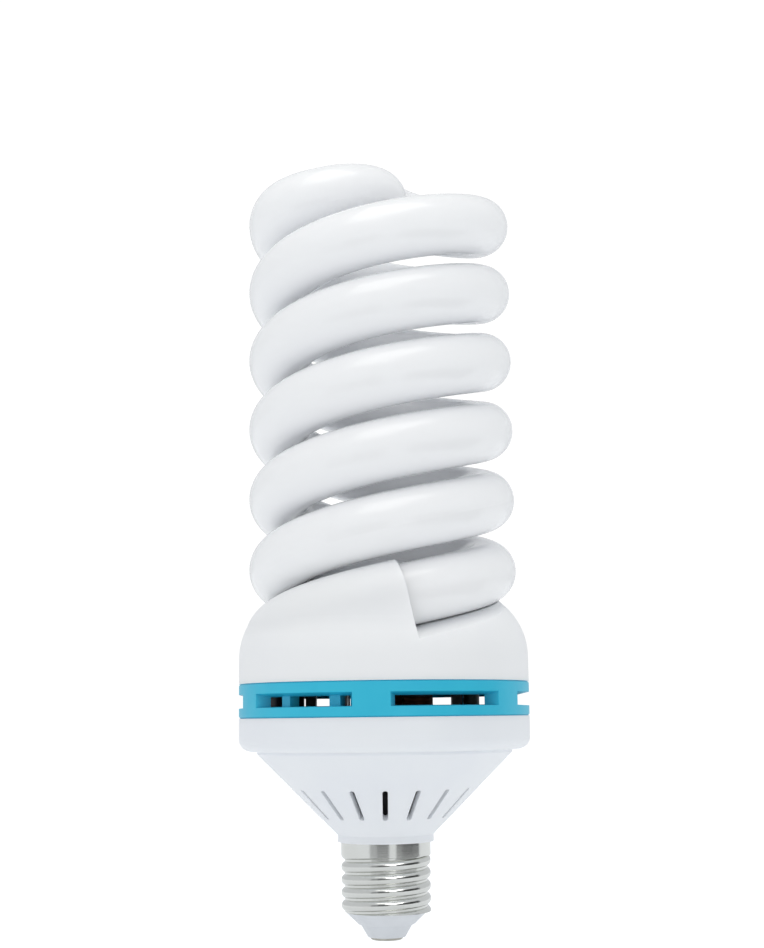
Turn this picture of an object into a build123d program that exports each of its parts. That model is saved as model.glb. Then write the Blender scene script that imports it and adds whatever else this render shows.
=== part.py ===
# Compact fluorescent bulb: a double-start glass spiral on a two-part housing with a vent ring,
# a ballast board inside and an E27 screw cap. Millimetres, +Z up along the lamp's axis, with
# the origin at the tip of the centre contact. The front of the lamp faces -Y, and angles are
# in degrees from +X, counter-clockwise seen from above.

import os
from math import cos, degrees, pi, radians, sin, sqrt, tan

from build123d import *

os.makedirs("parts", exist_ok=True)


# Screw cap, E27
thread_pitch = 3.63
thread_major_r = 13.1
thread_depth = 1.0
thread_ridge = 3.3
thread_sink = 0.3
thread_length = 16.0
shell_wall = 0.6
collar_length = 3.9
collar_margin = 0.05

# Cap insulator and centre contact
contact_r = 4.7
contact_thickness = 1.2
contact_edge_r = 0.6
stem_height = 2.4
wire_hole_r = 1.3
insulator_tip_r = 5.5
insulator_tip_z = 0.8
insulator_step_r = 7.6
insulator_step_z = 4.4
insulator_step_width = 0.6
insulator_base_r = 12.0
insulator_height = 8.0
insulator_spigot_height = 3.0

# Ballast housing
housing_wall = 2.2
neck_r = 14.1
neck_height = 2.0
neck_wall = 2.0
rim_overhang = 5.3
rim_step = 0.8
rim_height = 9.6
rim_corner_r = 3.6
slot_count = 18
slot_width = 1.5
slot_low_r = 19.0
slot_high_r = 27.6
neutral_hole_r = 0.9
neutral_hole_z = 20.0

# Vent ring
ring_height = 10.0
ring_wall = 4.0
ring_chamfer = 0.5
lip_height = 3.0
window_count = 6
window_centre = -124.6
window_angle = 46.0
window_flare = 2.0
window_sill_z = 2.9
window_height = 4.1
window_sill_rise = 0.3
window_head_drop = 1.2
post_angles = (-134.0, -110.0)
post_width = 3.2
post_depth = 3.0

# Spiral tube
tube_r = 8.9
coil_r = 30.95
coil_pitch = 42.5
coil_half_turns = 5
bridge_rise = 8.8
tube_insert_angle = 20.0

# Tube holder
holder_wall = 2.2
mouth_angle = -80.3
mouth_rise = 23.7
mouth_cover = 3.05
mouth_clearance = 0.25
hood_wall = 1.2
hood_angle = 96.0
hood_overrun = 4.0
hood_blend_r = 15.0
seat_gap = 0.5
seat_drop = 3.6
seat_angle = 150.0
ramp_pitch = 54.1
hub_r = 19.0
dome_wall_height = 7.3
dome_shoulder_r = 20.15
dome_shoulder_angle = 47.0

# Ballast board, its parts and the wires. Places on the board are shares of its radius.
board_thickness = 1.6
fit_clearance = 0.2
wire_r = 0.6
wire_bend_r = 5.0
lead_r = 0.4
lead_spacing = 5.0
lead_reach = 5.0
pin_width = 1.0
pin_height = 8.0
leg_r = 0.4

choke_at = (0.084, 0.049)
choke_width = 22.0
choke_depth = 9.0
choke_height = 20.0
choke_leg = 3.5
choke_core_leg = 6.5
choke_yoke = 4.0
choke_winding_depth = 18.0
choke_winding_corner_r = 3.0

filter_choke_at = (0.230, -0.543)
filter_choke_r = 4.5
filter_choke_waist_r = 2.2
filter_choke_flange = 2.0
filter_choke_height = 13.5

bulk_capacitor_at = (-0.731, 0.0)
hung_capacitor_at = (0.099, 0.0)
bulk_capacitor_r = 6.0
bulk_capacitor_height = 22.0
bulk_capacitor_groove = 0.5
hung_capacitor_gap = 4.5

resonant_capacitor_at = (-0.326, -0.074)
resonant_capacitor_size = (4.8, 17.0, 15.0)
blocking_capacitor_at = (0.254, 0.531)
blocking_capacitor_size = (9.0, 6.0, 14.0)
film_corner_r = 1.0

toroid_at = (-0.049, -0.444)
toroid_r = 5.0
toroid_hole_r = 2.5
toroid_height = 5.0

transistor_at = ((-0.528, -0.099), (0.527, -0.099))
transistor_size = (3.0, 8.0, 11.0)
transistor_lead_pitch = 2.3
transistor_lead_width = 0.8
transistor_lead_height = 3.5

diode_at = (0.543, 0.198)
diode_spacing = 4.0
diode_count = 4
diode_r = 1.35
diode_length = 5.2
diode_lead_span = 9.0

fuse_at = (0.635, -0.099)
fuse_r = 2.3
fuse_length = 11.5
fuse_lift = 1.5
fuse_lead_span = 4.2

thermistor_at = (-0.321, 0.370)
thermistor_r = 4.5
thermistor_thickness = 4.0
thermistor_lift = 4.0
thermistor_lead_spacing = 5.0

live_wire_at = (-0.123, 0.0)
live_wire_bend_rise = 6.0
neutral_wire_at = (-0.272, 0.0)
neutral_wire_bend_rise = 10.0


# Heights and radii that follow from the sizes above
shell_bottom = insulator_height
collar_bottom = shell_bottom + thread_length
shell_top = collar_bottom + collar_length
thread_root_r = thread_major_r - thread_depth
shell_bore_r = thread_root_r - shell_wall
spigot_r = shell_bore_r - fit_clearance
spigot_bottom = insulator_height + insulator_spigot_height
neck_bore_r = spigot_r - neck_wall
cone_bottom = shell_top + neck_height
body_r = coil_r + tube_r + mouth_cover
cone_top_r = body_r - rim_overhang
cone_top = cone_bottom + cone_top_r - neck_r
rim_bottom = cone_top + rim_step
rim_top = rim_bottom + rim_height
ledge_z = rim_bottom + housing_wall
board_r = body_r - housing_wall - fit_clearance
board_top = ledge_z + board_thickness
ring_top = rim_top + ring_height
ring_bore_r = body_r - ring_wall
mouth_z = ring_top + mouth_rise
mouth_r = tube_r + mouth_clearance
hood_r = mouth_r + hood_wall
coil_angle = 180 * coil_half_turns - mouth_angle
coil_top = mouth_z + coil_pitch * coil_angle / 360
helix_slope = coil_pitch / (2 * pi * coil_r)


def polar(radius, angle, z):
    """A point given by its distance from the axis, its angle and its height."""
    return Vector(radius * cos(radians(angle)), radius * sin(radians(angle)), z)


def board_point(place, z):
    """A point above or below a place on the ballast board."""
    return Vector(place[0] * board_r, place[1] * board_r, z)


def on_board(place, height=0.0):
    """A level plane above a place on the ballast board."""
    return Plane(board_point(place, board_top + height))


def tube_line(arm, start, turn):
    """The centre line of one arm of the tube, from the angle start and up through turn."""
    z = mouth_z + coil_pitch * (start - mouth_angle) / 360
    line = Helix(coil_pitch, coil_pitch * turn / 360, coil_r, (0, 0, z), mode=Mode.PRIVATE)
    return line.rotate(Axis.Z, start + 180 * arm)


def round_bar(line, radius):
    """A round bar along a line."""
    with BuildPart(mode=Mode.PRIVATE) as bar:
        with BuildSketch(Plane(line @ 0, z_dir=line % 0)):
            Circle(radius)
        sweep(path=line)
    return bar.part


def bent_wire(radius, bend, *points):
    """A round wire through straight runs with rounded corners."""
    with BuildLine(mode=Mode.PRIVATE) as route:
        FilletPolyline(*points, radius=bend)
    return round_bar(route.wire(), radius)


def save(builder, name):
    """Label a finished piece and write it to its own file."""
    builder.part.label = name
    export_step(builder.part, f"parts/{name}.step")


# Spiral tube: two helical arms half a turn apart, joined by an S-shaped bridge over the axis
arm_start = mouth_angle - tube_insert_angle
arm_turn = coil_angle + tube_insert_angle
front_arm = tube_line(0, arm_start, arm_turn)
back_arm = tube_line(1, arm_start, arm_turn)
bridge_run = pi * coil_r / 2
lobe_rise = bridge_rise / 2 + bridge_run * helix_slope / 8
lobe_slope = 3 * bridge_rise / (2 * bridge_run) - helix_slope / 4
lobe_side = Vector(0, coil_r / 2, 0)

with BuildPart() as spiral_tube:
    with BuildLine() as tube_path:
        add(front_arm)
        Spline(
            front_arm @ 1,
            (front_arm @ 1) / 2 + Vector(0, 0, coil_top / 2 + lobe_rise) - lobe_side,
            (0, 0, coil_top + bridge_rise),
            (back_arm @ 1) / 2 + Vector(0, 0, coil_top / 2 + lobe_rise) + lobe_side,
            back_arm @ 1,
            tangents=[
                front_arm % 1,
                (1, 0, lobe_slope),
                (0, 1, 0),
                (1, 0, -lobe_slope),
                (back_arm % 1) * -1,
            ],
        )
        add(back_arm)
    with BuildSketch(Plane(front_arm @ 0, z_dir=front_arm % 0)):
        Circle(tube_r)
    sweep(path=tube_path.wire())
save(spiral_tube, "spiral_tube")


# Tube holder: a dome with two helical ramps under the arms of the tube. Each ramp starts below
# the mouth of a hood that an arm enters, and fades into the crown half a turn further on.
def dome(inset):
    """The domed body as a solid of revolution, drawn inset below its outer skin."""
    turn = radians(dome_shoulder_angle)
    centre_r = body_r - dome_shoulder_r
    centre_z = ring_top + dome_wall_height
    edge_r = centre_r + dome_shoulder_r * cos(turn)
    crown_r = edge_r / cos(turn)
    crown_z = centre_z + dome_shoulder_r * sin(turn) - edge_r * tan(turn)
    with BuildPart(mode=Mode.PRIVATE) as body:
        with BuildSketch(Plane.XZ):
            with BuildLine():
                wall = Line((body_r - inset, ring_top), (body_r - inset, centre_z))
                CenterArc((centre_r, centre_z), dome_shoulder_r - inset, 0, dome_shoulder_angle)
                crown = CenterArc(
                    (0, crown_z), crown_r - inset, dome_shoulder_angle, 90 - dome_shoulder_angle
                )
                Polyline(crown @ 1, (0, ring_top), wall @ 0)
            make_face()
        revolve(axis=Axis.Z)
    return body.part


def hood(arm):
    """The cover over one end of the tube: round above, with straight sides down into the dome."""
    line = tube_line(arm, mouth_angle - hood_angle, hood_angle + hood_overrun)
    outwards = polar(1, mouth_angle - hood_angle + 180 * arm, 0)
    with BuildPart(mode=Mode.PRIVATE) as cover:
        with BuildSketch(Plane(line @ 0, x_dir=outwards, z_dir=line % 0)):
            Circle(hood_r)
            Rectangle(2 * hood_r, hood_r, align=(Align.CENTER, Align.MIN))
        sweep(path=line, is_frenet=True)
    return cover.part


def above_ramp(arm, inset):
    """What lies above one ramp, from the mouth of a hood through half a turn."""
    start = mouth_angle - degrees(inset / coil_r)
    run = tube_line(arm, start, tube_insert_angle)
    outwards = polar(1, start + 180 * arm, 0)
    line = Helix(ramp_pitch, ramp_pitch / 2, coil_r, (0, 0, (run @ 0).Z), mode=Mode.PRIVATE)
    with BuildPart(mode=Mode.PRIVATE) as cut:
        with BuildSketch(Plane(run @ 0, x_dir=outwards, z_dir=(run % 0) * -1)):
            with BuildLine():
                hub_x = hub_r - inset - coil_r
                seat_y = -tube_r - seat_gap - inset
                Polyline(
                    (hub_x, seat_y),
                    (0, seat_y),
                    (body_r - coil_r, seat_y - seat_drop),
                    (body_r, seat_y - seat_drop),
                    (body_r, body_r),
                    (hub_x, body_r),
                    close=True,
                )
            make_face()
        sweep(path=line.rotate(Axis.Z, start + 180 * arm), is_frenet=True)
    return cut.part


with BuildPart() as holder_hollow:
    add(dome(holder_wall))
    for arm in (0, 1):
        add(above_ramp(arm, holder_wall), mode=Mode.SUBTRACT)

with BuildPart() as tube_holder:
    add(dome(0))
    for arm in (0, 1):
        add(hood(arm))
        crease = tube_holder.edges(Select.NEW).sort_by(SortBy.LENGTH)[-1]
        fillet(crease, hood_blend_r)
    for arm in (0, 1):
        add(above_ramp(arm, 0), mode=Mode.SUBTRACT)
    add(holder_hollow.part, mode=Mode.SUBTRACT)
    for arm in (0, 1):
        bore = tube_line(arm, mouth_angle - hood_angle, hood_angle + seat_angle)
        add(round_bar(bore, mouth_r), mode=Mode.SUBTRACT)
save(tube_holder, "tube_holder")


# Vent ring: a moulded ring with a locating lip in each housing, flared windows and the posts
# that hold the ballast board down on its ledge
lower_lip_r = body_r - housing_wall - fit_clearance
upper_lip_r = body_r - holder_wall - fit_clearance

with BuildPart() as window_cuts:
    with BuildSketch(Plane.XZ):
        with BuildLine():
            sill_z = rim_top + window_sill_z
            head_z = sill_z + window_height
            Polyline(
                (ring_bore_r - ring_chamfer, sill_z + window_sill_rise),
                (body_r + ring_chamfer, sill_z),
                (body_r + ring_chamfer, head_z),
                (ring_bore_r - ring_chamfer, head_z - window_head_drop),
                close=True,
            )
        make_face()
    revolve(axis=Axis.Z)
    with BuildSketch(Plane.XY.offset(rim_top)):
        for window in range(window_count):
            middle = window_centre + 360 / window_count * window
            outer = window_angle / 2
            inner = outer - window_flare
            Polygon(
                polar(ring_bore_r, middle - inner, 0),
                polar(body_r, middle - outer, 0),
                polar(body_r / cos(radians(outer)), middle, 0),
                polar(body_r, middle + outer, 0),
                polar(ring_bore_r, middle + inner, 0),
                polar(ring_bore_r * cos(radians(window_angle)), middle, 0),
                align=None,
            )
    extrude(amount=ring_height, mode=Mode.INTERSECT)

with BuildPart() as vent_ring:
    with BuildSketch(Plane.XZ):
        with BuildLine():
            Polyline(
                (ring_bore_r, rim_top - lip_height),
                (lower_lip_r, rim_top - lip_height),
                (lower_lip_r, rim_top),
                (body_r - ring_chamfer, rim_top),
                (body_r, rim_top + ring_chamfer),
                (body_r, ring_top - ring_chamfer),
                (body_r - ring_chamfer, ring_top),
                (upper_lip_r, ring_top),
                (upper_lip_r, ring_top + lip_height),
                (ring_bore_r, ring_top + lip_height),
                close=True,
            )
        make_face()
    revolve(axis=Axis.Z)
    add(window_cuts.part, mode=Mode.SUBTRACT)
    with BuildSketch(Plane.XY.offset(board_top)):
        for angle in post_angles:
            with PolarLocations(ring_bore_r + ring_chamfer, 2, start_angle=angle):
                Rectangle(post_depth + ring_chamfer, post_width, align=(Align.MAX, Align.CENTER))
    extrude(amount=ring_top - board_top)
save(vent_ring, "vent_ring")


# Ballast housing: rim, ledge, slotted 45 degree cone, neck and the spigot inside the cap
cone_wall_r = housing_wall * sqrt(2)

with BuildPart() as ballast_housing:
    with BuildSketch(Plane.XZ):
        with BuildLine():
            Polyline(
                (body_r, rim_bottom + rim_corner_r),
                (body_r, rim_top),
                (body_r - housing_wall, rim_top),
                (body_r - housing_wall, ledge_z),
                (neck_r + ledge_z - cone_bottom - cone_wall_r, ledge_z),
                (neck_bore_r, cone_bottom + neck_bore_r + cone_wall_r - neck_r),
                (neck_bore_r, spigot_bottom),
                (spigot_r, spigot_bottom),
                (spigot_r, shell_top),
                (neck_r, shell_top),
                (neck_r, cone_bottom),
                (cone_top_r, cone_top),
                (cone_top_r, rim_bottom),
                (body_r - rim_corner_r, rim_bottom),
            )
            RadiusArc(
                (body_r - rim_corner_r, rim_bottom),
                (body_r, rim_bottom + rim_corner_r),
                -rim_corner_r,
            )
        make_face()
    revolve(axis=Axis.Z)
    slot_r = (slot_low_r + slot_high_r) / 2
    slot_planes = []
    for slot in range(slot_count):
        angle = -90 + 360 / slot_count * slot
        outwards = polar(1, angle, 0)
        origin = polar(slot_r, angle, cone_bottom + slot_r - neck_r)
        slot_planes.append(
            Plane(origin, x_dir=outwards + Vector(0, 0, 1), z_dir=outwards - Vector(0, 0, 1))
        )
    with BuildSketch(*slot_planes):
        SlotOverall((slot_high_r - slot_low_r) * sqrt(2), slot_width)
    extrude(amount=2 * housing_wall, both=True, mode=Mode.SUBTRACT)
    with BuildSketch(Plane.YZ):
        with Locations((0, neutral_hole_z)):
            Circle(neutral_hole_r)
    extrude(amount=-2 * spigot_r, mode=Mode.SUBTRACT)
save(ballast_housing, "ballast_housing")


# Screw shell: a rounded ridge wound on a thin shell, with a plain collar above the thread
def threaded_core(inset):
    """The thread's form over its whole length, drawn inset below its outer skin."""
    run_in = 2 * thread_pitch
    line = Helix(
        thread_pitch,
        thread_length + run_in,
        thread_root_r,
        (0, 0, shell_bottom - thread_pitch),
        mode=Mode.PRIVATE,
    )
    base = -inset - thread_sink
    with BuildPart(mode=Mode.PRIVATE) as core:
        with BuildSketch(Plane.XY.offset(shell_bottom - run_in)):
            Circle(thread_root_r - inset)
        extrude(amount=thread_length + 2 * run_in)
        with BuildSketch(Plane(line @ 0, x_dir=(1, 0, 0), z_dir=line % 0)):
            with BuildLine():
                ridge = ThreePointArc(
                    (base, -thread_ridge / 2), (thread_depth - inset, 0), (base, thread_ridge / 2)
                )
                Line(ridge @ 1, ridge @ 0)
            make_face()
        sweep(path=line, is_frenet=True)
        with BuildSketch(Plane.XY.offset(shell_bottom)):
            Circle(2 * thread_major_r)
        extrude(amount=thread_length, mode=Mode.INTERSECT)
    return core.part


collar_r = thread_major_r + collar_margin

with BuildPart() as screw_shell:
    add(threaded_core(0))
    with BuildSketch(Plane.XY.offset(collar_bottom)):
        Circle(collar_r)
    extrude(amount=collar_length)
    add(threaded_core(shell_wall), mode=Mode.SUBTRACT)
    with BuildSketch(Plane.XY.offset(collar_bottom)):
        Circle(shell_bore_r)
    extrude(amount=collar_length, mode=Mode.SUBTRACT)
    with BuildSketch(Plane.XY.offset(collar_bottom + shell_wall)):
        Circle(collar_r - shell_wall)
    extrude(amount=collar_length, mode=Mode.SUBTRACT)
save(screw_shell, "screw_shell")


# Cap insulator: a stepped cone with a cup above it and a pocket below for the contact
with BuildPart() as cap_insulator:
    with BuildSketch(Plane.XZ):
        with BuildLine():
            Polyline(
                (wire_hole_r, contact_thickness),
                (contact_r + fit_clearance / 2, contact_thickness),
                (contact_r + fit_clearance / 2, insulator_tip_z),
                (insulator_tip_r, insulator_tip_z),
                (insulator_step_r, insulator_step_z),
                (insulator_step_r + insulator_step_width, insulator_step_z),
                (insulator_base_r, insulator_height),
                (spigot_r, insulator_height),
                (spigot_r, spigot_bottom),
                (neck_bore_r, spigot_bottom),
                (neck_bore_r, insulator_height),
                (wire_hole_r, insulator_step_z),
                close=True,
            )
        make_face()
    revolve(axis=Axis.Z)
save(cap_insulator, "cap_insulator")


# Centre contact: a rounded disc with a stem that takes the live wire
stem_top = contact_thickness + stem_height

with BuildPart() as centre_contact:
    with BuildSketch():
        Circle(contact_r)
    extrude(amount=contact_thickness)
    fillet(centre_contact.edges().group_by(Axis.Z)[0], contact_edge_r)
    with BuildSketch(Plane.XY.offset(contact_thickness)):
        Circle(wire_hole_r - fit_clearance)
    extrude(amount=stem_height)
save(centre_contact, "centre_contact")


# Circuit board: a disc on the ledge of the ballast housing
with BuildPart() as circuit_board:
    with BuildSketch(Plane.XY.offset(ledge_z)):
        Circle(board_r)
    extrude(amount=board_thickness)
save(circuit_board, "circuit_board")


# Resonant choke: a ferrite core with a middle leg, and the winding round that leg
with BuildPart() as choke_core:
    window_width = (choke_width - choke_core_leg) / 2 - choke_leg
    window_middle = (choke_core_leg + window_width) / 2
    foot = board_point(choke_at, board_top)
    with BuildSketch(Plane(foot, x_dir=(1, 0, 0), z_dir=(0, -1, 0))):
        Rectangle(choke_width, choke_height, align=(Align.CENTER, Align.MIN))
        with Locations((-window_middle, choke_yoke), (window_middle, choke_yoke)):
            Rectangle(
                window_width,
                choke_height - 2 * choke_yoke,
                align=(Align.CENTER, Align.MIN),
                mode=Mode.SUBTRACT,
            )
    extrude(amount=choke_depth / 2, both=True)
save(choke_core, "choke_core")

with BuildPart() as choke_winding:
    with BuildSketch(on_board(choke_at, choke_yoke)):
        RectangleRounded(
            choke_width - 2 * choke_leg - 2 * fit_clearance, choke_winding_depth, choke_winding_corner_r
        )
        Rectangle(
            choke_core_leg + 2 * fit_clearance, choke_depth + 2 * fit_clearance, mode=Mode.SUBTRACT
        )
    extrude(amount=choke_height - 2 * choke_yoke - fit_clearance)
save(choke_winding, "choke_winding")


# Filter choke: a drum core and the winding between its flanges
winding_height = filter_choke_height - 2 * filter_choke_flange

with BuildPart() as filter_choke_core:
    with BuildSketch(on_board(filter_choke_at)):
        Circle(filter_choke_r)
    extrude(amount=filter_choke_height)
    with BuildSketch(on_board(filter_choke_at, filter_choke_flange)):
        Circle(filter_choke_r)
        Circle(filter_choke_waist_r, mode=Mode.SUBTRACT)
    extrude(amount=winding_height, mode=Mode.SUBTRACT)
save(filter_choke_core, "filter_choke_core")

with BuildPart() as filter_choke_winding:
    with BuildSketch(on_board(filter_choke_at, filter_choke_flange)):
        Circle(filter_choke_r - fit_clearance)
        Circle(filter_choke_waist_r + fit_clearance, mode=Mode.SUBTRACT)
    extrude(amount=winding_height - fit_clearance)
save(filter_choke_winding, "filter_choke_winding")


# Bulk capacitors: cans with a rolled groove near the foot, one on the board and one hung below it
hung_foot = Plane(board_point(hung_capacitor_at, ledge_z), z_dir=(0, 0, -1))

hung_height = ledge_z - cone_bottom - hung_capacitor_gap
standing, hanging = (on_board(bulk_capacitor_at), bulk_capacitor_height), (hung_foot, hung_height)
for number, (foot, height) in enumerate((standing, hanging), start=1):
    with BuildPart() as bulk_capacitor:
        with BuildSketch(foot):
            Circle(bulk_capacitor_r)
        extrude(amount=height)
        fillet(bulk_capacitor.faces().sort_by_distance(foot.origin)[-1].edges(), bulk_capacitor_groove)
        with BuildSketch(foot.offset(4 * bulk_capacitor_groove)):
            Circle(bulk_capacitor_r)
            Circle(bulk_capacitor_r - bulk_capacitor_groove, mode=Mode.SUBTRACT)
        extrude(amount=2 * bulk_capacitor_groove, mode=Mode.SUBTRACT)
    save(bulk_capacitor, f"bulk_capacitor_{number}")


# Film capacitors: rounded blocks
def film_capacitor(place, size, name):
    with BuildPart() as block:
        with BuildSketch(on_board(place)):
            RectangleRounded(size[0], size[1], film_corner_r)
        extrude(amount=size[2])
        fillet(block.edges().group_by(Axis.Z)[-1], film_corner_r)
    save(block, name)


film_capacitor(resonant_capacitor_at, resonant_capacitor_size, "resonant_capacitor")
film_capacitor(blocking_capacitor_at, blocking_capacitor_size, "blocking_capacitor")


# Drive toroid: a small ring core that lies on the board
with BuildPart() as drive_toroid:
    with BuildSketch(on_board(toroid_at)):
        Circle(toroid_r)
        Circle(toroid_hole_r, mode=Mode.SUBTRACT)
    extrude(amount=toroid_height)
save(drive_toroid, "drive_toroid")


# Power transistors: flat bodies that stand on three leads
for number, place in enumerate(transistor_at, start=1):
    with BuildPart() as power_transistor:
        with BuildSketch(on_board(place, transistor_lead_height)):
            Rectangle(transistor_size[0], transistor_size[1])
        extrude(amount=transistor_size[2])
        with BuildSketch(on_board(place)):
            with GridLocations(0, transistor_lead_pitch, 1, 3):
                Rectangle(transistor_lead_width, transistor_lead_width)
        extrude(amount=transistor_lead_height)
    save(power_transistor, f"power_transistor_{number}")


# Rectifier diodes: bodies that lie just above the board on bent leads
for number in range(1, diode_count + 1):
    z = board_top + diode_r + fit_clearance
    middle = board_point(diode_at, z) + Vector(0, diode_spacing * (number - 1), 0)
    x, y = middle.X, middle.Y
    span = diode_lead_span / 2
    with BuildPart() as rectifier_diode:
        add(
            bent_wire(
                leg_r,
                2 * leg_r,
                (x - span, y, board_top),
                (x - span, y, z),
                (x + span, y, z),
                (x + span, y, board_top),
            )
        )
        with BuildSketch(Plane(middle, z_dir=(1, 0, 0))):
            Circle(diode_r)
        extrude(amount=diode_length / 2, both=True)
    save(rectifier_diode, f"rectifier_diode_{number}")


# Fuse resistor: an upright body with its upper lead bent back down to the board
with BuildPart() as fuse_resistor:
    bend_z = board_top + fuse_lift + fuse_length + fuse_lead_span / 2
    fuse_return = Vector(0, fuse_lead_span, 0)
    add(
        bent_wire(
            leg_r,
            fuse_lead_span / 2 - leg_r / 2,
            board_point(fuse_at, board_top),
            board_point(fuse_at, bend_z),
            board_point(fuse_at, bend_z) + fuse_return,
            board_point(fuse_at, board_top) + fuse_return,
        )
    )
    with BuildSketch(on_board(fuse_at, fuse_lift)):
        Circle(fuse_r)
    extrude(amount=fuse_length)
save(fuse_resistor, "fuse_resistor")


# Start thermistor: an upright disc on two leads
with BuildPart() as start_thermistor:
    disc_z = board_top + thermistor_lift + thermistor_r
    with BuildSketch(Plane(board_point(thermistor_at, disc_z), z_dir=(1, 0, 0))):
        Circle(thermistor_r)
    extrude(amount=thermistor_thickness / 2, both=True)
    with BuildSketch(on_board(thermistor_at)):
        with GridLocations(0, thermistor_lead_spacing, 1, 2):
            Circle(leg_r)
    extrude(amount=thermistor_lift + thermistor_r)
save(start_thermistor, "start_thermistor")


# Electrode leads: two from each end of the tube, bent down onto a pin on the board
lead_number = 0
for arm in (0, 1):
    end_line = tube_line(arm, arm_start, tube_insert_angle)
    outwards = polar(1, arm_start + 180 * arm, 0)
    for side in (-1, 1):
        lead_number += 1
        lead_start = end_line @ 0 + outwards * (side * lead_spacing / 2)
        lead_bend = lead_start - (end_line % 0) * lead_reach
        with BuildPart() as wrap_pin:
            with BuildSketch(Plane((lead_bend.X, lead_bend.Y, board_top))):
                Rectangle(pin_width, pin_width)
            extrude(amount=pin_height)
        save(wrap_pin, f"wrap_pin_{lead_number}")
        pin_top = (lead_bend.X, lead_bend.Y, board_top + pin_height)
        with BuildPart() as electrode_lead:
            add(bent_wire(lead_r, lead_reach / 2, lead_start, lead_bend, pin_top))
        save(electrode_lead, f"electrode_lead_{lead_number}")


# Mains wires: live down the axis to the contact, neutral out through the spigot to the shell
with BuildPart() as live_wire:
    add(
        bent_wire(
            wire_r,
            wire_bend_r,
            board_point(live_wire_at, ledge_z),
            board_point(live_wire_at, cone_bottom + live_wire_bend_rise),
            (0, 0, cone_bottom),
            (0, 0, stem_top),
        )
    )
save(live_wire, "live_wire")

with BuildPart() as neutral_wire:
    bore_x = -(neck_bore_r - 3 * wire_r)
    add(
        bent_wire(
            wire_r,
            3 * wire_r,
            board_point(neutral_wire_at, ledge_z),
            board_point(neutral_wire_at, cone_bottom + neutral_wire_bend_rise),
            (bore_x, 0, cone_bottom),
            (bore_x, 0, neutral_hole_z),
            (-spigot_r, 0, neutral_hole_z),
        )
    )
save(neutral_wire, "neutral_wire")
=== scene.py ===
"""The look of a compact fluorescent bulb: materials for every sub-part, a studio and the camera.

All lengths are in metres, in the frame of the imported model: +Z runs along the lamp from the tip
of its cap, and the front of the lamp faces -Y. Angles are in degrees.
"""

from math import cos, pi, radians, sin

import bpy
from mathutils import Matrix, Vector


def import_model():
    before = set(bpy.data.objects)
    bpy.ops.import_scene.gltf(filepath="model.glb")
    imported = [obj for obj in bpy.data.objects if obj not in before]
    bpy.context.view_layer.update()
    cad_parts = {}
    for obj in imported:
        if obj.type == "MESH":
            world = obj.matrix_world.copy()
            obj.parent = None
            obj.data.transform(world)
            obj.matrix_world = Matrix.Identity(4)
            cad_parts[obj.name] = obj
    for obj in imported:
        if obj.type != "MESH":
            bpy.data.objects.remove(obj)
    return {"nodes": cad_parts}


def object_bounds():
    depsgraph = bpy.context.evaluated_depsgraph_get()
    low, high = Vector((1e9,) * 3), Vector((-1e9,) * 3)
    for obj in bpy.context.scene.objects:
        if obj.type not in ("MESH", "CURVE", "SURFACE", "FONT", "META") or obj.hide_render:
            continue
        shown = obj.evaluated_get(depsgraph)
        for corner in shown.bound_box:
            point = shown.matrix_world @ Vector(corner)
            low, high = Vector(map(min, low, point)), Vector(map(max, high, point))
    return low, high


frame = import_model()
cad_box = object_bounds()

MM = 0.001
WHITE = (1.0, 1.0, 1.0, 1.0)

# Camera, from the perspective of the coil and the housing in the photograph
IMAGE_HEIGHT = 948
FOCAL_PIXELS = 1628.6
SENSOR = 36.0
CAMERA_PLACE = Vector((0.2, -487.8, 63.7)) * MM
CAMERA_LEVEL = 90.0
CAMERA_PITCH = 8.5
CAMERA_ROLL = -0.69

# Room: what lights the lamp, and what the camera sees past it
ROOM_COLOUR = (0.945, 0.970, 1.0, 1.0)
ROOM_LIGHT = 0.74
ROOM_SEEN = 1.05

# Floor: how strongly it glows on the lamp, and how strongly the camera sees it glow
FLOOR_RADIUS = 3.0
FLOOR_SIDES = 96
FLOOR_GAP = 0.2 * MM
FLOOR_GLOW = 0.67
FLOOR_SEEN = 1.02
FLOOR_COLOUR = (0.95, 0.975, 1.0, 1.0)
FLOOR_BASE = (0.25, 0.25, 0.25, 1.0)

# Grey cards round the front: the angles where each starts and ends, and its 8-bit screen tone
FLAGS = ((-40, -22, 165), (-22, 8, 100), (26, 40, 105), (40, 72, 25), (72, 92, 80))
FLAG_RADIUS = 0.25
FLAG_HEIGHT = 0.13
FLAG_STEPS = 12

# A softbox over the front, a wide one behind, and a small one for the metal of the cap
KEY_LIGHT = {
    "place": (-0.068, -0.466, 0.95),
    "target": (-0.068, -0.466, 0),
    "size": (0.6, 0.9),
    "power": 2.6,
    "colour": (1.0, 0.975, 0.93),
    "turn": -26.6,
}
BACK_LIGHT = {
    "place": (0, 0.9, 0.35),
    "target": (0, 0, 0.15),
    "size": (1.8, 1.2),
    "power": 5.0,
    "colour": (0.96, 0.98, 1.0),
}
GLINT_LIGHT = {
    "place": (0.09, -0.23, 0.14),
    "target": (0, 0, 0.02),
    "size": (0.22, 0.09),
    "power": 0.22,
    "colour": (1.0, 1.0, 1.0),
}

# Materials: where in a pattern a blend of colours starts and ends, how fine a noise is, how it is
# stretched along X, Y and Z, and the radians that a wave texture of scale 1 runs through in 1 m
MATT = 0.9
EVEN_SCATTER = (1.0, 1.0, 1.0)
BLEND_START, BLEND_END = 0.35, 0.65
FINE_DETAIL = 3.0
SLOW_DETAIL = 1.0
ANY_WAY = (1.0, 1.0, 1.0)
ROLLED = (0.2, 0.2, 4.0)
FINELY_ROLLED = (0.1, 0.1, 3.0)
WOVEN = (1.0, 0.3, 1.0)
WIRE_PITCH = 1.4137 * MM
WAVE_RATE = 20.0


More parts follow.
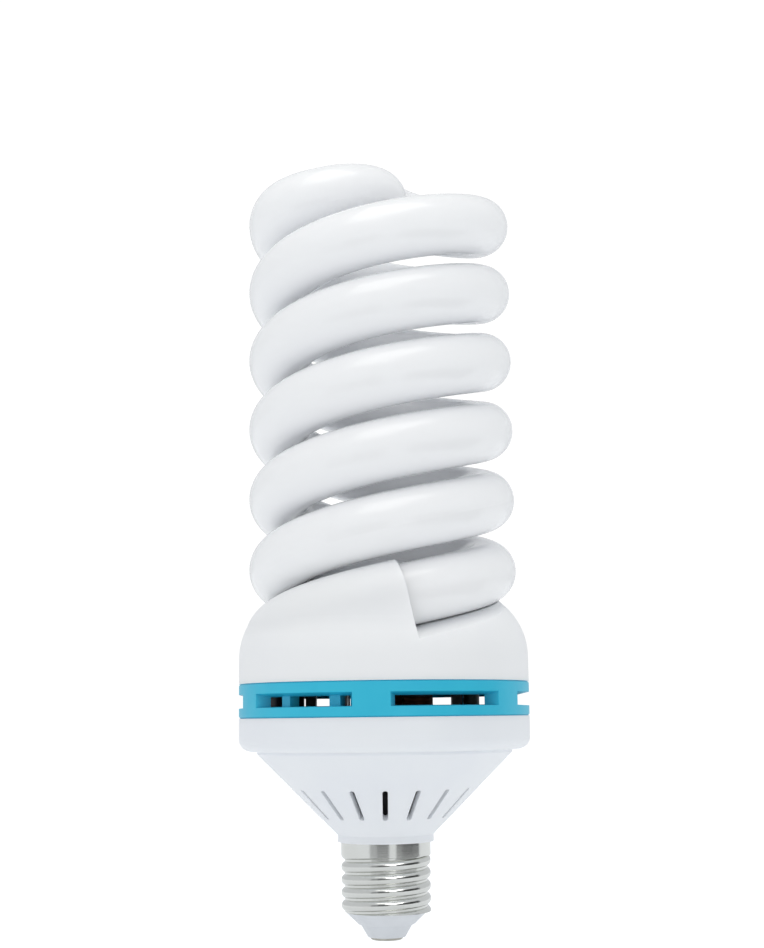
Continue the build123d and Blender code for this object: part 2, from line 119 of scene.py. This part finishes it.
def linear(red, green, blue):
    """A colour given in 8-bit screen values, as linear light by the sRGB curve."""

    def channel(value):
        value /= 255
        if value <= 0.04045:
            return value / 12.92
        return ((value + 0.055) / 1.055) ** 2.4

    return (channel(red), channel(green), channel(blue), 1.0)


def numbered(name, count):
    """The names of sub-parts that are numbered from 1."""
    return [f"{name}_{number}" for number in range(1, count + 1)]


def socket_name(keyword):
    """The name of a shader socket, from the keyword that stands for it here."""
    return keyword.replace("_", " ").title().replace("Ior", "IOR")


class Surface:
    """A principled material with helpers for the detail that each real surface shows."""

    def __init__(self, name, colour, **sockets):
        self.material = bpy.data.materials.new(name)
        self.material.use_nodes = True
        self.tree = self.material.node_tree
        self.shader = self.tree.nodes["Principled BSDF"]
        self.colour = colour
        self.fill(self.shader, base_color=colour, **sockets)
        self.place = self.node("ShaderNodeTexCoord").outputs["Object"]
        self.normal = None

    def fill(self, node, **inputs):
        """Set sockets of a node by keyword."""
        for keyword, value in inputs.items():
            node.inputs[socket_name(keyword)].default_value = value

    def node(self, kind, **inputs):
        """A new node with these sockets set."""
        made = self.tree.nodes.new(kind)
        self.fill(made, **inputs)
        return made

    def link(self, output, socket):
        self.tree.links.new(output, socket)

    def noise(self, size, detail=FINE_DETAIL, stretch=ANY_WAY):
        """Cloudy noise whose features are about this size."""
        mapping = self.node("ShaderNodeMapping", scale=[share / size for share in stretch])
        self.link(self.place, mapping.inputs["Vector"])
        texture = self.node("ShaderNodeTexNoise", scale=1.0, detail=detail)
        self.link(mapping.outputs["Vector"], texture.inputs["Vector"])
        return texture.outputs["Fac"]

    def rings(self, pitch):
        """Even ridges along Z, as of wire wound side by side."""
        texture = self.node("ShaderNodeTexWave", scale=2 * pi / (WAVE_RATE * pitch))
        texture.bands_direction = "Z"
        self.link(self.place, texture.inputs["Vector"])
        return texture.outputs["Fac"]

    def vary_colour(self, pattern, other):
        """Blend the base colour to another one by a pattern."""
        ramp = self.node("ShaderNodeValToRGB")
        start, end = ramp.color_ramp.elements
        start.position, start.color = BLEND_START, self.colour
        end.position, end.color = BLEND_END, other
        self.link(pattern, ramp.inputs["Fac"])
        self.link(ramp.outputs["Color"], self.shader.inputs["Base Color"])

    def vary_roughness(self, pattern, low, high):
        """Let a pattern move the roughness between two values."""
        spread = self.node("ShaderNodeMapRange", to_min=low, to_max=high)
        self.link(pattern, spread.inputs["Value"])
        self.link(spread.outputs["Result"], self.shader.inputs["Roughness"])

    def bump(self, pattern, height, strength):
        """Raise the surface by a pattern, on top of any earlier bump."""
        bump = self.node("ShaderNodeBump", strength=strength, distance=height)
        self.link(pattern, bump.inputs["Height"])
        if self.normal is not None:
            self.link(self.normal, bump.inputs["Normal"])
        self.normal = bump.outputs["Normal"]
        self.link(self.normal, self.shader.inputs["Normal"])

    def grain(self, size):
        """The fine spark-eroded grain of a moulded surface."""
        self.bump(self.noise(size), height=0.010 * MM, strength=0.5)

    def dress(self, *nodes):
        """Put the material on these sub-parts."""
        for name in nodes:
            materials = frame["nodes"][name].data.materials
            materials.clear()
            materials.append(self.material)


# Materials of the outside


def tube_glass():
    """Clear glass over a white phosphor coat: a soft matt white under a sharp gloss."""
    surface = Surface(
        "tube_glass",
        linear(249, 250, 253),
        roughness=0.55,
        coat_weight=1.0,
        coat_roughness=0.02,
        coat_ior=1.55,
        subsurface_weight=1.0,
        subsurface_radius=EVEN_SCATTER,
        subsurface_scale=10 * MM,
    )
    surface.vary_colour(surface.noise(30 * MM), linear(247, 249, 253))
    surface.vary_roughness(surface.noise(4 * MM), low=0.50, high=0.62)
    surface.bump(surface.noise(26 * MM, SLOW_DETAIL), height=0.10 * MM, strength=0.4)
    surface.dress("spiral_tube")


def housing_plastic(name, colour, other, node):
    """White moulded plastic with a fine grain."""
    surface = Surface(
        name,
        colour,
        roughness=0.40,
        subsurface_weight=0.5,
        subsurface_radius=EVEN_SCATTER,
        subsurface_scale=2.5 * MM,
    )
    surface.vary_colour(surface.noise(22 * MM), other)
    surface.vary_roughness(surface.noise(3 * MM), low=0.34, high=0.48)
    surface.grain(0.35 * MM)
    surface.bump(surface.noise(18 * MM, SLOW_DETAIL), height=0.05 * MM, strength=0.3)
    surface.dress(node)


def ring_plastic():
    """Cyan moulded plastic."""
    surface = Surface("ring_plastic", linear(38, 186, 218), roughness=0.38)
    surface.vary_colour(surface.noise(12 * MM), linear(46, 191, 221))
    surface.vary_roughness(surface.noise(2.5 * MM), low=0.32, high=0.46)
    surface.grain(0.35 * MM)
    surface.dress("vent_ring")


def cap_metal():
    """Nickel-plated sheet, drawn and rolled: fine marks run round the axis."""
    surface = Surface("cap_metal", linear(220, 221, 218), roughness=0.17, metallic=1.0)
    surface.vary_colour(surface.noise(9 * MM), linear(215, 216, 212))
    surface.vary_roughness(surface.noise(1.5 * MM, stretch=ROLLED), low=0.12, high=0.22)
    marks = surface.noise(0.5 * MM, stretch=FINELY_ROLLED)
    surface.bump(marks, height=0.006 * MM, strength=0.5)
    surface.dress("screw_shell")


def insulator_plastic():
    """Pale grey moulded insulator."""
    surface = Surface("insulator_plastic", linear(225, 228, 232), roughness=0.42)
    surface.vary_colour(surface.noise(5 * MM), linear(220, 223, 227))
    surface.grain(0.4 * MM)
    surface.dress("cap_insulator")


def contact_metal():
    """Tinned contact with small dents."""
    surface = Surface("contact_metal", linear(196, 194, 186), roughness=0.30, metallic=1.0)
    surface.vary_colour(surface.noise(2 * MM), linear(176, 173, 163))
    surface.vary_roughness(surface.noise(1 * MM), low=0.24, high=0.42)
    surface.bump(surface.noise(1.2 * MM), height=0.05 * MM, strength=0.5)
    surface.dress("centre_contact")


# Materials of the inside


def lead_metal():
    """Tinned wire and pins."""
    surface = Surface("lead_metal", linear(200, 200, 196), roughness=0.28, metallic=1.0)
    surface.vary_roughness(surface.noise(1 * MM), low=0.22, high=0.40)
    surface.dress(*numbered("wrap_pin", 4), *numbered("electrode_lead", 4))


def board_laminate():
    """Brown paper laminate with a woven look."""
    surface = Surface("board_laminate", linear(140, 112, 62), roughness=0.5)
    surface.vary_colour(surface.noise(1.5 * MM, stretch=WOVEN), linear(122, 94, 50))
    surface.bump(surface.noise(0.6 * MM), height=0.02 * MM, strength=0.5)
    surface.dress("circuit_board")


def ferrite():
    """Sintered ferrite: dark, matt and finely pitted."""
    surface = Surface("ferrite", linear(58, 58, 60), roughness=0.6)
    surface.vary_colour(surface.noise(1.2 * MM), linear(44, 44, 47))
    surface.bump(surface.noise(0.3 * MM), height=0.03 * MM, strength=0.6)
    surface.dress("choke_core", "filter_choke_core", "drive_toroid")


def winding_copper():
    """Enamelled copper wire wound in even layers; its colours are darkened as painted shade of the
    dark inside of the housing.
    """
    # Both copper colours are painted darker than bare enamelled wire: painted shade of the closed
    # housing.
    surface = Surface("winding_copper", linear(74, 40, 24), roughness=0.36, metallic=0.6)
    turns = surface.rings(WIRE_PITCH)
    surface.vary_colour(turns, linear(92, 52, 30))
    surface.bump(turns, height=0.15 * MM, strength=0.8)
    surface.dress("choke_winding", "filter_choke_winding")


def dipped_coat(name, colour, other, *nodes):
    """A dipped or moulded coat: glossy, with slow waves."""
    surface = Surface(name, colour, roughness=0.30)
    surface.vary_colour(surface.noise(4 * MM), other)
    surface.vary_roughness(surface.noise(1.5 * MM), low=0.24, high=0.42)
    surface.bump(surface.noise(3 * MM, SLOW_DETAIL), height=0.08 * MM, strength=0.5)
    surface.dress(*nodes)


def board_parts():
    """The coats of the parts on the board and of the two mains wires."""
    films = ["resonant_capacitor", "blocking_capacitor"]
    cans = numbered("bulk_capacitor", 2)
    mouldings = numbered("power_transistor", 2) + numbered("rectifier_diode", 4)
    dipped_coat("film_capacitor", linear(110, 58, 44), linear(96, 48, 38), *films)
    dipped_coat("capacitor_sleeve", linear(44, 46, 54), linear(36, 38, 46), *cans)
    dipped_coat("thermistor_coat", linear(52, 84, 66), linear(44, 72, 58), "start_thermistor")
    dipped_coat("fuse_coat", linear(92, 102, 92), linear(82, 92, 84), "fuse_resistor")
    dipped_coat("live_insulation", linear(170, 40, 38), linear(158, 34, 34), "live_wire")
    dipped_coat("neutral_insulation", linear(44, 44, 46), linear(38, 38, 40), "neutral_wire")
    dipped_coat("moulding_black", linear(38, 38, 40), linear(30, 30, 32), *mouldings)


# Studio


def floor():
    """A plain pale floor just under the tip of the lamp."""
    tip_z = cad_box[0][2]
    bpy.ops.mesh.primitive_circle_add(
        vertices=FLOOR_SIDES,
        radius=FLOOR_RADIUS,
        fill_type="NGON",
        location=(0, 0, tip_z - FLOOR_GAP),
    )
    ground = bpy.context.object
    ground.name = "floor"
    surface = Surface("floor", FLOOR_BASE, roughness=MATT, emission_color=FLOOR_COLOUR)
    path = surface.node("ShaderNodeLightPath")
    glow = surface.node("ShaderNodeMapRange", to_min=FLOOR_GLOW, to_max=FLOOR_SEEN)
    surface.link(path.outputs["Is Camera Ray"], glow.inputs["Value"])
    surface.link(glow.outputs["Result"], surface.shader.inputs["Emission Strength"])
    ground.data.materials.append(surface.material)


def flag(first, last, tone):
    """A grey card that stands round the front of the lamp, seen only in reflections."""
    corners = []
    for step in range(FLAG_STEPS + 1):
        turn = radians(first + (last - first) * step / FLAG_STEPS)
        side, front = FLAG_RADIUS * sin(turn), -FLAG_RADIUS * cos(turn)
        corners += [(side, front, 0.0), (side, front, FLAG_HEIGHT)]
    faces = [(n, n + 1, n + 3, n + 2) for n in range(0, 2 * FLAG_STEPS, 2)]
    mesh = bpy.data.meshes.new("flag")
    mesh.from_pydata(corners, [], faces)
    mesh.materials.append(Surface("flag", linear(tone, tone, tone), roughness=MATT).material)
    card = bpy.data.objects.new("flag", mesh)
    bpy.context.scene.collection.objects.link(card)
    card.visible_camera = False
    card.visible_diffuse = False
    card.visible_shadow = False


def softbox(name, place, target, size, power, colour, turn=0.0):
    """A rectangular area light aimed at a point and turned about its own axis."""
    light = bpy.data.lights.new(name, "AREA")
    light.shape = "RECTANGLE"
    light.size, light.size_y = size
    light.energy = power
    light.color = colour
    lamp = bpy.data.objects.new(name, light)
    bpy.context.scene.collection.objects.link(lamp)
    lamp.location = place
    aim = Vector(target) - Vector(place)
    lamp.rotation_euler = aim.to_track_quat("-Z", "Y").to_euler()
    lamp.rotation_euler.rotate_axis("Z", radians(turn))
    return lamp


def world():
    """An even white room: brighter where the camera looks past the lamp."""
    room_world = bpy.data.worlds.new("studio")
    bpy.context.scene.world = room_world
    room_world.use_nodes = True
    nodes = room_world.node_tree.nodes
    links = room_world.node_tree.links
    room = nodes["Background"]
    room.inputs["Color"].default_value = ROOM_COLOUR
    room.inputs["Strength"].default_value = ROOM_LIGHT
    seen = nodes.new("ShaderNodeBackground")
    seen.inputs["Color"].default_value = WHITE
    seen.inputs["Strength"].default_value = ROOM_SEEN
    path = nodes.new("ShaderNodeLightPath")
    mix = nodes.new("ShaderNodeMixShader")
    share, for_others, for_camera = mix.inputs
    links.new(path.outputs["Is Camera Ray"], share)
    links.new(room.outputs["Background"], for_others)
    links.new(seen.outputs["Background"], for_camera)
    links.new(mix.outputs["Shader"], nodes["World Output"].inputs["Surface"])


def studio():
    """Floor, cards, room and lights."""
    floor()
    for card in FLAGS:
        flag(*card)
    world()
    softbox("key", **KEY_LIGHT)
    backdrop = softbox("backdrop", **BACK_LIGHT)
    backdrop.visible_glossy = False
    glint = softbox("glint", **GLINT_LIGHT)
    shiny = bpy.data.collections.new("lit_by_glint")
    shiny.objects.link(frame["nodes"]["screw_shell"])
    glint.light_linking.receiver_collection = shiny
    bpy.context.scene.view_settings.view_transform = "Standard"


def camera():
    """The photograph's viewing angle."""
    lens = bpy.data.cameras.new("camera")
    lens.sensor_fit = "AUTO"
    lens.sensor_width = SENSOR
    lens.lens = SENSOR * FOCAL_PIXELS / IMAGE_HEIGHT
    viewer = bpy.data.objects.new("camera", lens)
    bpy.context.scene.collection.objects.link(viewer)
    pitch = Matrix.Rotation(radians(CAMERA_LEVEL + CAMERA_PITCH), 4, "X")
    roll = Matrix.Rotation(radians(CAMERA_ROLL), 4, "Z")
    viewer.matrix_world = Matrix.Translation(CAMERA_PLACE) @ pitch @ roll
    bpy.context.scene.camera = viewer


tube_glass()
housing_plastic("holder_plastic", linear(250, 251, 251), linear(248, 249, 250), "tube_holder")
housing_plastic("ballast_plastic", linear(243, 246, 251), linear(240, 243, 249), "ballast_housing")
ring_plastic()
cap_metal()
insulator_plastic()
contact_metal()
lead_metal()
board_laminate()
ferrite()
winding_copper()
board_parts()
studio()
camera()
